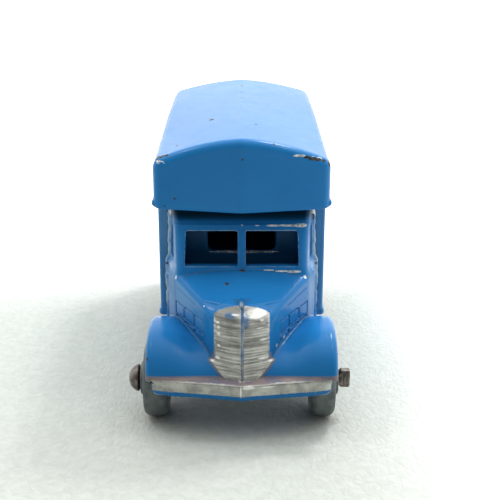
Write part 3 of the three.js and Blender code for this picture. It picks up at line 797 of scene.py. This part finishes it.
# places rubbed light, and painted highlights on corners, edges and beads
RUBS_AND_HIGHLIGHTS = (
    (1.9, -14.05, 22.4, 0.35, 0.3, 0.1), (3.9, -14.05, 22.4, 0.9, 0.3, 0.12), (5.6, -14.05, 22.42, 1.3, 0.3, 0.16), (7.3, -13.8, 22.4, 0.8, 0.5, 0.2),
    (3.3, -15.16, 17.05, 0.7, 0.2, 0.07), (5.0, -15.17, 16.92, 0.9, 0.2, 0.1), (6.4, -15.17, 16.86, 1.0, 0.22, 0.15),
    (-8.12, -15.1, 16.1, 0.15, 0.22, 0.28), (7.8, -15.3, 16.2, 0.22, 0.24, 0.26), (-4.45, -21.5, 14.97, 0.12, 0.14, 0.12), (-4.16, -22.15, 14.74, 0.14, 0.14, 0.12),
    (4.13, -22.36, 10.34, 0.19, 0.3, 0.2), (5.03, -20.58, 10.68, 0.22, 0.34, 0.2), (-10.08, -14.33, 30.58, 0.16, 0.24, 0.16), (-9.93, -14.42, 30.42, 0.2, 0.26, 0.14), (-9.76, -14.5, 30.6, 0.2, 0.24, 0.09), (-9.42, -14.6, 30.58, 0.22, 0.22, 0.08), (-9.2, -14.66, 30.44, 0.1, 0.2, 0.12),
    (6.5, -15.2, 31.47, 0.5, 0.18, 0.12), (7.25, -15.1, 31.42, 0.42, 0.2, 0.13), (8.6, -14.7, 31.22, 0.4, 0.2, 0.1), (9.4, -14.42, 30.98, 0.5, 0.24, 0.13), (9.95, -14.35, 30.86, 0.2, 0.2, 0.2),
    (-8.9, -10.45, 23.3, 0.25, 0.35, 1.1), (8.95, -10.4, 23.0, 0.25, 0.35, 1.3), (0.0, -9.6, 17.48, 4.3, 0.4, 0.13), (0.05, -14.0, 22.45, 0.12, 0.2, 0.12),
)
# painted highlights on the silver
PAINTED_HIGHLIGHTS = (
    (-2.78, -23.9, 13.9, 0.26, 0.9, 0.16), (-2.7, -23.95, 13.35, 0.22, 0.9, 0.16), (-2.66, -24.1, 12.6, 0.24, 0.9, 0.2), (-2.66, -24.3, 11.25, 0.2, 0.9, 0.14), (-2.8, -24.5, 9.8, 0.3, 0.9, 0.18),
    (2.4, -24.6, 9.85, 0.8, 1.0, 0.13), (2.5, -24.3, 12.0, 0.55, 1.0, 0.09), (0.8, -26.85, 7.0, 0.75, 0.5, 0.24), (-0.1, -27.0, 6.5, 0.1, 0.4, 0.8),
    (1.7, -23.6, 14.55, 0.8, 1.0, 0.24), (2.35, -23.5, 14.2, 0.3, 1.0, 0.14), (-0.75, -23.8, 14.85, 0.45, 0.8, 0.1), (2.1, -24.2, 13.35, 0.5, 1.0, 0.07), (3.0, -26.5, 6.95, 0.9, 0.6, 0.1),
)
# fine scratches: centre, direction and half length
SCRATCHES = (
    ((2.6, 0.65, 33.2), (0.64, -0.77, 0.0), 1.25), ((-5.2, 9.5, 32.6), (0.9, 0.43, 0.0), 0.8), ((4.6, 15.0, 32.8), (0.2, 0.98, 0.0), 1.3),
    ((10.65, 6.0, 18.0), (0.0, 0.9, 0.43), 2.1), ((-10.65, 12.5, 20.5), (0.0, 0.8, -0.6), 1.7),
)


def chipped(m, spots, wobble):
    """Distance to the nearest listed spot, 1 at its rim."""
    near = None
    place = m.vector("MULTIPLY", m.place, (1000.0, 1000.0, 1000.0))
    for cx, cy, cz, rx, ry, rz in spots:
        off = m.vector("MULTIPLY", m.vector("SUBTRACT", place, (cx, cy, cz)), (1 / rx, 1 / ry, 1 / rz))
        d = m.vector("LENGTH", off)
        near = d if near is None else m.math("MINIMUM", near, d)
    return m.math("ADD", near, wobble)


def scratched(m, lines, width):
    """Thin straight marks, 1 on the mark."""
    place = m.vector("MULTIPLY", m.place, (1000.0, 1000.0, 1000.0))
    near = None
    for centre, along, half in lines:
        off = m.vector("SUBTRACT", place, centre)
        u = m.math("MULTIPLY", m.vector("DOT_PRODUCT", off, along), 1 / half)
        squared = m.vector("DOT_PRODUCT", off, off)
        side = m.math("SUBTRACT", squared, m.math("POWER", m.math("MULTIPLY", u, half), 2.0))
        d = m.math("ADD", m.math("MULTIPLY", side, 1 / width ** 2), m.math("POWER", u, 4.0))
        near = d if near is None else m.math("MINIMUM", near, d)
    return m.ramp(near, 1.2, 0.7)


def specks(m, scale, size, rare, seed):
    """Small scattered dots."""
    moved = m.vector("ADD", m.place, (seed, seed * 0.7, seed * 1.3))
    n = m.tree.nodes.new("ShaderNodeTexVoronoi")
    n.inputs["Scale"].default_value = scale
    m.link(moved, n.inputs["Vector"])
    pick = m.noise(scale * 0.37, 1.0, 0.5, moved)
    dot = m.ramp(n.outputs["Distance"], size * 0.6, size, 1.0, 0.0)
    return m.math("MULTIPLY", dot, m.ramp(pick, rare, rare + 0.03))


def enamel_material(name, trim):
    m = Nodes(name)
    x, y, z = m.axes()
    ax = m.math("ABSOLUTE", x)
    fine = m.noise(2600, 3, 0.6)
    mid = m.noise(620, 5, 0.6)
    broad = m.noise(85, 3, 0.5)
    edge, fold = m.attribute("edge"), m.attribute("fold")
    wob = m.math("ADD", m.math("MULTIPLY_ADD", mid, 0.5, -0.25), m.math("MULTIPLY_ADD", fine, 0.3, -0.15))

    blue = m.mix(m.ramp(broad, 0.35, 0.68), (*srgb(30, 116, 182), 1), (*srgb(36, 122, 188), 1))
    blue = m.mix(m.math("MULTIPLY", m.ramp(fine, 0.5, 0.8), 0.2), blue, (*srgb(54, 132, 198), 1))
    # darker in the corners and grooves
    corner_dark = m.math("MULTIPLY", m.ramp(m.math("MULTIPLY_ADD", wob, 0.5, fold), -0.35, -1.3), 0.4)
    blue = m.mix(corner_dark, blue, (*srgb(12, 42, 62), 1))
    colour, rough, metal = blue, m.ramp(mid, 0.3, 0.75, 0.17, 0.27), None
    rough = m.math("MULTIPLY_ADD", corner_dark, 0.3, rough)
    ribs = None
    rub_and_sheen = None
    if trim:
        # painted shade inside the cab: darker blue on the inner walls
        inside = m.math("SUBTRACT", y, m.math("MULTIPLY_ADD", z, 0.1864, -18.28))
        inside = m.math("MULTIPLY", m.ramp(inside, 0.45, 0.75), m.ramp(y, -9.3, -9.5))
        inside = m.math("MULTIPLY", inside, m.math("MULTIPLY", m.ramp(m.math("MULTIPLY_ADD", y, -0.2, ax), 10.6, 10.3), m.ramp(z, 28.6, 28.4)))
        colour = m.mix(m.math("MULTIPLY", inside, 0.4), colour, (*srgb(12, 52, 76), 1))
        # painted shade on the header under the overhang, a dark dull blue
        header_shade = m.math("MULTIPLY", m.ramp(z, 22.5, 23.6), m.math("MULTIPLY", m.ramp(y, -14.6, -13.8), m.math("MULTIPLY", m.ramp(ax, 9.2, 8.6), m.ramp(z, 25.2, 24.9))))
        colour = m.mix(m.math("MULTIPLY", m.math("MULTIPLY", header_shade, m.ramp(y, -9.3, -9.6)), 0.9), colour, (*srgb(12, 40, 52), 1))
        # pale dust and painted sheen on the bulkhead beside the cab and on the left side of the bonnet
        dust_and_sheen = m.math("MULTIPLY", m.math("MULTIPLY", m.ramp(y, -9.78, -9.68), m.ramp(y, -9.3, -9.45)), m.math("MULTIPLY", m.ramp(ax, 9.2, 9.5), m.ramp(z, 24.6, 24.3)))
        flank = m.math("MULTIPLY", m.math("MULTIPLY", m.ramp(y, -14.9, -15.6), m.ramp(y, -22.6, -21.0)), m.math("MULTIPLY", m.ramp(x, -3.4, -4.2), m.math("MULTIPLY", m.ramp(z, 11.2, 12.6), m.ramp(m.math("MULTIPLY_ADD", y, -0.193, z), 18.96, 18.66))))
        dust_and_sheen = m.math("MULTIPLY", m.math("MAXIMUM", dust_and_sheen, m.math("MULTIPLY", flank, m.ramp(x, -8.8, -8.3))), m.ramp(broad, 0.3, 0.6, 0.16, 0.26))
        colour = m.mix(dust_and_sheen, colour, (*srgb(146, 194, 222), 1))
        # painted shade on the lower front of the wings, darker towards the bottom
        wing_front_shade = m.math("MULTIPLY", m.math("MULTIPLY", m.ramp(z, 12.6, 10.0), m.ramp(y, -19.5, -21.5)), m.ramp(broad, 0.3, 0.7, 0.2, 0.3))
        colour = m.mix(wing_front_shade, colour, (*srgb(14, 66, 108), 1))
        # doors lightened in upright streaks, most along the flash line behind them and at their front corner: wear and
        # painted sheen
        streak = m.noise(420, 4, 0.6, m.vector("MULTIPLY", m.place, (1.0, 1.0, 0.12)))
        door = m.math("MULTIPLY", m.math("MULTIPLY", m.ramp(ax, 7.7, 8.2), m.ramp(ax, 10.0, 9.86)), m.math("MULTIPLY", m.ramp(y, -15.5, -14.5), m.ramp(y, -9.75, -10.0)))
        door = m.math("MULTIPLY", door, m.math("MULTIPLY", m.ramp(z, 24.6, 24.3), m.ramp(z, 9.6, 11.6)))
        rub_and_sheen = m.math("MAXIMUM", m.ramp(m.math("ABSOLUTE", m.math("ADD", y, 10.35)), 0.5, 0.2, 0.0, 0.9), m.ramp(z, 17.6, 16.6, 0.1, 0.42))
        rub_and_sheen = m.math("MULTIPLY", rub_and_sheen, m.ramp(m.noise(260, 3, 0.5), 0.38, 0.6, 0.5, 1.0))
        rub_and_sheen = m.math("MULTIPLY", m.math("MULTIPLY", door, rub_and_sheen), m.ramp(streak, 0.3, 0.6, 0.55, 1.0))
        half = m.math("MINIMUM", m.ramp(z, 7.2, 9.15, 1.75, 3.68, smooth=False), m.ramp(z, 9.15, 9.4, 3.8, 3.24))
        dg = m.math("MAXIMUM", m.math("SUBTRACT", ax, half), m.math("ADD", y, 22.75))
        dg = m.math("MAXIMUM", dg, m.math("SUBTRACT", 7.5, z))
        db = m.math("MAXIMUM", m.math("SUBTRACT", 5.9, z), m.math("SUBTRACT", z, 7.26))
        db = m.math("MAXIMUM", db, m.math("ADD", y, 25.0))
        db = m.math("MAXIMUM", db, m.math("SUBTRACT", ax, 10.5))
        ds = m.math("MULTIPLY_ADD", wob, 0.55, m.math("MINIMUM", dg, db))
        silver = m.ramp(ds, 0.06, -0.06)
        # blue that the thin silver leaves open, beside the centre rib and in patches
        line = m.ramp(m.math("ABSOLUTE", m.math("SUBTRACT", m.math("MULTIPLY_ADD", wob, 0.25, x), 0.08)), 0.24, 0.12)
        line = m.math("MULTIPLY", line, m.math("MULTIPLY", m.ramp(z, 7.3, 7.7), m.math("MAXIMUM", m.ramp(z, 13.9, 14.4, 0.0, 0.95), m.ramp(mid, 0.3, 0.6, 0.25, 0.85))))
        blot = m.ramp(chipped(m, ((0.42, -24.5, 14.2, 0.5, 2.0, 0.62), (-1.4, -24.3, 14.75, 0.75, 2.0, 0.25)), m.math("MULTIPLY", wob, 5.0)), 1.3, 0.5)
        gap = m.math("MAXIMUM", line, m.math("MULTIPLY", blot, 0.7))
        thin = m.ramp(m.noise(1500, 4, 0.65), 0.66, 0.72)
        silver = m.math("MULTIPLY", silver, m.math("SUBTRACT", 1.0, m.math("MAXIMUM", gap, thin)))
        # faint brown overspray above the bumper and beside the grille's foot
        band = m.math("MULTIPLY", m.ramp(m.math("MULTIPLY_ADD", wob, 0.5, z), 7.78, 7.56), m.ramp(y, -23.6, -24.0))
        band = m.math("MULTIPLY", band, m.ramp(z, 6.6, 7.0))
        halo = m.math("MULTIPLY", m.ramp(m.math("MULTIPLY_ADD", wob, 0.6, dg), 0.42, 0.1), m.ramp(z, 10.2, 9.6))
        spray = m.math("MULTIPLY", m.math("MAXIMUM", band, halo), m.ramp(mid, 0.25, 0.6, 0.6, 0.95))
        colour = m.mix(spray, colour, m.mix(m.ramp(mid, 0.3, 0.7), (*srgb(116, 101, 98), 1), (*srgb(136, 122, 118), 1)))
        rough = m.math("MULTIPLY_ADD", spray, 0.25, rough)
        grey = m.mix(m.ramp(mid, 0.3, 0.7), (*srgb(176, 176, 171), 1), (*srgb(212, 212, 207), 1))
        lines = m.noise(2600, 3, 0.6, m.vector("MULTIPLY", m.place, (0.13, 0.02, 1.0)))
        grey = m.mix(m.math("MULTIPLY", m.ramp(lines, 0.44, 0.62), 0.5), grey, (*srgb(112, 112, 108), 1))
        grey = m.mix(m.math("MULTIPLY", m.ramp(fold, -0.2, -1.0), 0.65), grey, (*srgb(74, 78, 84), 1))
        grey = m.mix(m.math("MULTIPLY", m.ramp(z, 7.35, 7.15), 0.8), grey, m.mix(m.ramp(mid, 0.35, 0.65), (*srgb(138, 139, 136), 1), (*srgb(184, 184, 178), 1)))
        # painted shade on the left of the grille's cap, a darker grey
        cap_left_shade = m.math("MULTIPLY", m.ramp(z, 13.9, 14.5), m.ramp(m.math("MULTIPLY_ADD", wob, 2.0, x), 0.2, -0.8))
        grey = m.mix(m.math("MULTIPLY", cap_left_shade, 0.8), grey, (*srgb(104, 106, 102), 1))
        colour = m.mix(m.math("MULTIPLY", m.math("MULTIPLY", gap, m.ramp(ds, 0.06, -0.06)), 0.85), colour, (*srgb(48, 78, 108), 1))
        colour = m.mix(silver, colour, grey)
        rough = m.math("ADD", m.math("MULTIPLY", rough, m.math("SUBTRACT", 1.0, silver)), m.math("MULTIPLY", silver, m.ramp(mid, 0.3, 0.7, 0.3, 0.44)))
        metal = m.math("MULTIPLY", silver, 0.75)
        # fine cross ribs of the grille
        wave = m.math("SINE", m.math("MULTIPLY_ADD", z, 2 * math.pi / 0.34, m.math("MULTIPLY", mid, 5.0)))
        ribs = m.math("MULTIPLY", wave, m.math("MULTIPLY", m.ramp(dg, 0.0, -0.15), m.ramp(z, 14.2, 13.9)))

    # thin paint on the sharp edges with the doors' painted sheen, rubbed places with painted highlights, and chips down
    # to dark metal
    thin_paint_and_sheen = m.math("MULTIPLY", m.ramp(m.math("MULTIPLY_ADD", wob, 2.4, edge), 1.1, 1.4), 0.45)
    if rub_and_sheen is not None:
        thin_paint_and_sheen = m.math("MULTIPLY", m.math("MAXIMUM", thin_paint_and_sheen, rub_and_sheen), m.math("SUBTRACT", 1.0, silver))
    colour = m.mix(thin_paint_and_sheen, colour, (*srgb(168, 190, 206), 1))
    # rubbed places and painted highlights, pale to white
    rubbed_and_lit = m.ramp(chipped(m, RUBS_AND_HIGHLIGHTS, m.math("MULTIPLY", wob, 3.2)), 1.05, 0.95)
    colour = m.mix(rubbed_and_lit, colour, m.mix(m.ramp(fine, 0.35, 0.65), (*srgb(160, 168, 172), 1), (*srgb(240, 242, 240), 1)))
    if trim:
        # painted highlights: near-white spots on the silver
        bright = m.math("MULTIPLY", m.ramp(chipped(m, PAINTED_HIGHLIGHTS, m.math("MULTIPLY", wob, 2.4)), 1.25, 0.5), 0.8)
        colour = m.mix(bright, colour, (*srgb(252, 252, 250), 1))
        metal = m.math("MULTIPLY", metal, m.math("SUBTRACT", 1.0, bright))
    else:
        # dirt on the underside, and the rails' lower faces rubbed to the metal
        dirt = m.math("MULTIPLY", m.ramp(m.noise(210, 5, 0.6), 0.42, 0.68), 0.45)
        colour = m.mix(dirt, colour, (*srgb(52, 76, 92), 1))
        rough = m.math("MULTIPLY_ADD", dirt, 0.4, rough)
        scrape = m.math("MULTIPLY", m.ramp(z, 3.62, 3.5), m.ramp(m.noise(330, 5, 0.65), 0.44, 0.54))
        rubbed_and_lit = m.math("MAXIMUM", rubbed_and_lit, scrape)
        colour = m.mix(scrape, colour, m.mix(m.ramp(fine, 0.35, 0.65), (*srgb(120, 124, 126), 1), (*srgb(168, 172, 172), 1)))
    bare = m.ramp(chipped(m, CHIPS, m.math("MULTIPLY", wob, 1.6)), 1.06, 0.94)
    bare = m.math("MAXIMUM", bare, specks(m, 420, 0.075, 0.6, 0.31))
    bare = m.math("MAXIMUM", bare, m.math("MULTIPLY", scratched(m, SCRATCHES, 0.07), m.ramp(mid, 0.35, 0.55, 0.25, 0.8)))
    zinc = m.mix(m.ramp(fine, 0.35, 0.7), (*srgb(34, 36, 36), 1), (*srgb(78, 80, 78), 1))
    colour = m.mix(bare, colour, zinc)
    gone = m.math("MAXIMUM", bare, rubbed_and_lit)
    rough = m.math("ADD", m.math("MULTIPLY", rough, m.math("SUBTRACT", 1.0, gone)), m.math("MULTIPLY", gone, 0.5))
    patch = m.math("MULTIPLY", rubbed_and_lit, 0.4)
    metal = patch if metal is None else m.math("MAXIMUM", patch, metal)

    height = m.math("MULTIPLY_ADD", m.noise(1100, 2, 0.5), 0.35, m.math("MULTIPLY", m.noise(300, 2, 0.5), 1.0))
    height = m.math("MULTIPLY_ADD", gone, -3.0, height)
    normal = m.bump(height, 0.3, 0.00002)
    if ribs is not None:
        normal = m.bump(ribs, 0.24, 0.00004, normal)
    m.set(Base_Color=colour, Roughness=rough, Metallic=metal, Normal=normal, Specular_IOR_Level=0.15)
    return m.mat


def zinc_material():
    m = Nodes("cast_grey")
    x, y, z = m.axes()
    r = m.math("SQRT", m.math("ADD", m.math("MULTIPLY", y, y), m.math("MULTIPLY", z, z)))
    fine = m.noise(3000, 3, 0.6)
    mid = m.noise(700, 5, 0.62)
    tone = m.mix(m.ramp(mid, 0.32, 0.7), (*srgb(78, 86, 88), 1), (*srgb(115, 123, 124), 1))
    tone = m.mix(m.math("MULTIPLY", m.ramp(fine, 0.5, 0.75), 0.35), tone, (*srgb(52, 56, 56), 1))
    # dirt in the dished face, brighter metal where the tread rubs
    dish = m.math("MULTIPLY", m.ramp(r, 3.45, 3.1), m.ramp(r, 2.0, 2.3))
    tone = m.mix(m.math("MULTIPLY", dish, m.ramp(mid, 0.2, 0.6, 0.4, 0.85)), tone, (*srgb(44, 46, 46), 1))
    rub = m.math("MULTIPLY", m.ramp(m.math("MULTIPLY_ADD", m.math("SUBTRACT", mid, 0.5), 0.5, r), 4.5, 4.66), 0.5)
    tone = m.mix(rub, tone, (*srgb(104, 110, 110), 1))
    pits = specks(m, 900, 0.1, 0.55, 0.17)
    tone = m.mix(m.math("MULTIPLY", pits, 0.8), tone, (*srgb(34, 36, 36), 1))
    turned_marks = m.math("SINE", m.math("MULTIPLY", r, 42.0))
    height = m.math("MULTIPLY_ADD", turned_marks, 0.12, m.math("MULTIPLY_ADD", mid, 1.0, m.math("MULTIPLY", pits, -0.8)))
    rough = m.ramp(mid, 0.25, 0.75, 0.42, 0.62)
    m.set(Base_Color=tone, Roughness=rough, Metallic=0.6, Normal=m.bump(height, 0.6, 0.00008))
    return m.mat


def steel_material():
    m = Nodes("nail_steel")
    fine = m.noise(3200, 3, 0.6)
    mid = m.noise(800, 5, 0.62)
    tone = m.mix(m.ramp(mid, 0.35, 0.65), (*srgb(66, 62, 60), 1), (*srgb(124, 118, 112), 1))
    rust = m.math("MULTIPLY", m.ramp(m.noise(520, 5, 0.65), 0.52, 0.68), 0.7)
    tone = m.mix(rust, tone, (*srgb(74, 52, 40), 1))
    rough = m.math("MULTIPLY_ADD", rust, 0.25, m.ramp(fine, 0.3, 0.7, 0.26, 0.44))
    m.set(Base_Color=tone, Roughness=rough, Metallic=0.9, Normal=m.bump(m.math("ADD", mid, m.math("MULTIPLY", fine, 0.3)), 0.5, 0.00005))
    return m.mat


body.data.materials.append(enamel_material("body_enamel", True))
base.data.materials.append(enamel_material("base_enamel", False))
grey, steel = zinc_material(), steel_material()
for w in wheels:
    w.data.materials.append(grey)
for o in axles + rivets:
    o.data.materials.clear()
    o.data.materials.append(steel)

# ------------------------------------------------------------------ stage and light
floor_mesh = bpy.data.meshes.new("floor")
floor_mesh.from_pydata([(-12, -12, 0), (12, -12, 0), (12, 12, 0), (-12, 12, 0)], [], [(0, 1, 2, 3)])
floor = bpy.data.objects.new("floor", floor_mesh)
bpy.context.scene.collection.objects.link(floor)
m = Nodes("floor_card")
grain = m.noise(800, 4, 0.6, distort=0.6)
creases = m.tree.nodes.new("ShaderNodeTexVoronoi")
creases.feature = "DISTANCE_TO_EDGE"
creases.inputs["Scale"].default_value = 1050
m.link(m.vector("ADD", m.place, m.vector("MULTIPLY", m.place, (0.0, -0.35, 0.0))), creases.inputs["Vector"])
relief = m.math("MULTIPLY_ADD", m.ramp(creases.outputs["Distance"], 0.0, 0.25), 0.5, grain)
fx, fy, fz = m.axes()
# painted shade and light on the floor: a grey card in front and to the left, pale behind and to the right
pale = m.math("MAXIMUM", m.ramp(fy, 5.0, 60.0), m.math("MULTIPLY", m.ramp(fx, 10.0, 45.0), m.ramp(fy, -60.0, -25.0)))
card = m.mix(m.ramp(grain, 0.3, 0.7), (0.46, 0.49, 0.455, 1), (0.515, 0.545, 0.51, 1))
m.set(Base_Color=m.mix(pale, card, (0.94, 0.945, 0.93, 1)), Roughness=0.6, Specular_IOR_Level=0.2, Normal=m.bump(relief, 0.35, 0.0002))
floor_mesh.materials.append(m.mat)

# a wide soft box overhead and a pale sweep behind, dim towards the camera
world = bpy.data.worlds.new("studio")
bpy.context.scene.world = world
world.use_nodes = True
tree = world.node_tree
sky = tree.nodes["Background"]
where = tree.nodes.new("ShaderNodeTexCoord")
split = tree.nodes.new("ShaderNodeSeparateXYZ")
tree.links.new(where.outputs["Generated"], split.inputs[0])


def graded(value, pairs):
    """World brightness along one direction, through (value, brightness) pairs."""
    level = tree.nodes.new("ShaderNodeMapRange")
    level.inputs["From Min"].default_value, level.inputs["From Max"].default_value = -1.0, 1.0
    tree.links.new(value, level.inputs["Value"])
    curve = tree.nodes.new("ShaderNodeValToRGB")
    tree.links.new(level.outputs["Result"], curve.inputs["Fac"])
    stops = curve.color_ramp.elements
    while len(stops) < len(pairs):
        stops.new(0.5)
    for e, (v, bright) in zip(stops, pairs):
        e.position = (v + 1) / 2
        e.color = (bright / 4, bright / 4, bright / 4, 1)
    return curve.outputs["Color"]


around = graded(split.outputs[1], ((-1.0, 0.05), (-0.5, 0.14), (0.0, 0.85), (0.5, 1.22), (0.9, 1.42)))
tilt = tree.nodes.new("ShaderNodeVectorMath")
tilt.operation = "DOT_PRODUCT"
tree.links.new(where.outputs["Generated"], tilt.inputs[0])
tilt.inputs[1].default_value = (0.1, 0.3, 0.949)
above = graded(tilt.outputs["Value"], ((0.0, 0.0), (0.5, 0.0), (0.8, 0.75), (1.0, 1.2)))
lean = tree.nodes.new("ShaderNodeVectorMath")
lean.operation = "DOT_PRODUCT"
tree.links.new(where.outputs["Generated"], lean.inputs[0])
lean.inputs[1].default_value = (0.0, -0.64, 0.768)
fill = graded(lean.outputs["Value"], ((0.0, 0.0), (0.62, 0.0), (0.88, 0.22), (1.0, 0.28)))
both_high = tree.nodes.new("ShaderNodeMath")
both_high.operation = "ADD"
tree.links.new(above, both_high.inputs[0])
tree.links.new(fill, both_high.inputs[1])
total = tree.nodes.new("ShaderNodeMath")
total.operation = "ADD"
tree.links.new(around, total.inputs[0])
tree.links.new(both_high.outputs[0], total.inputs[1])
gain = tree.nodes.new("ShaderNodeMath")
gain.operation = "MULTIPLY"
gain.inputs[1].default_value = 4.4
tree.links.new(total.outputs[0], gain.inputs[0])
tree.links.new(gain.outputs[0], sky.inputs["Strength"])
sky.inputs["Color"].default_value = (1.0, 1.0, 0.985, 1)


def lamp(name, at, to, size, power, colour=(1, 1, 1)):
    data = bpy.data.lights.new(name, "AREA")
    data.shape = "RECTANGLE"
    data.size, data.size_y = size
    data.energy = power
    data.color = colour
    ob = bpy.data.objects.new(name, data)
    ob.location = at
    v = np.array(to) - np.array(at)
    ob.rotation_euler = (math.atan2(math.hypot(v[0], v[1]), -v[2]), 0, math.atan2(v[1], v[0]) - math.pi / 2)
    bpy.context.scene.collection.objects.link(ob)
    return ob


lamp("key", (0.12, 0.14, 0.28), (0.0, -0.01, 0.0), (0.05, 0.05), 0.45)
lamp("right", (0.16, -0.02, 0.28), (0.0, -0.01, 0.01), (0.03, 0.03), 0.07)
lamp("left", (-0.17, 0.02, 0.27), (0.0, -0.01, 0.01), (0.03, 0.03), 0.08)

camera_data = bpy.data.cameras.new("camera")
camera = bpy.data.objects.new("camera", camera_data)
bpy.context.scene.collection.objects.link(camera)
camera.location = (0.0, -0.1241, 0.05865)
camera.rotation_euler = (math.radians(90 - 19.69), 0, 0)
camera_data.sensor_width = 36
camera_data.lens = 68.4
camera_data.shift_x = 0.0166
camera_data.clip_start = 0.005
bpy.context.scene.camera = camera
bpy.context.scene.view_settings.view_transform = "Standard"
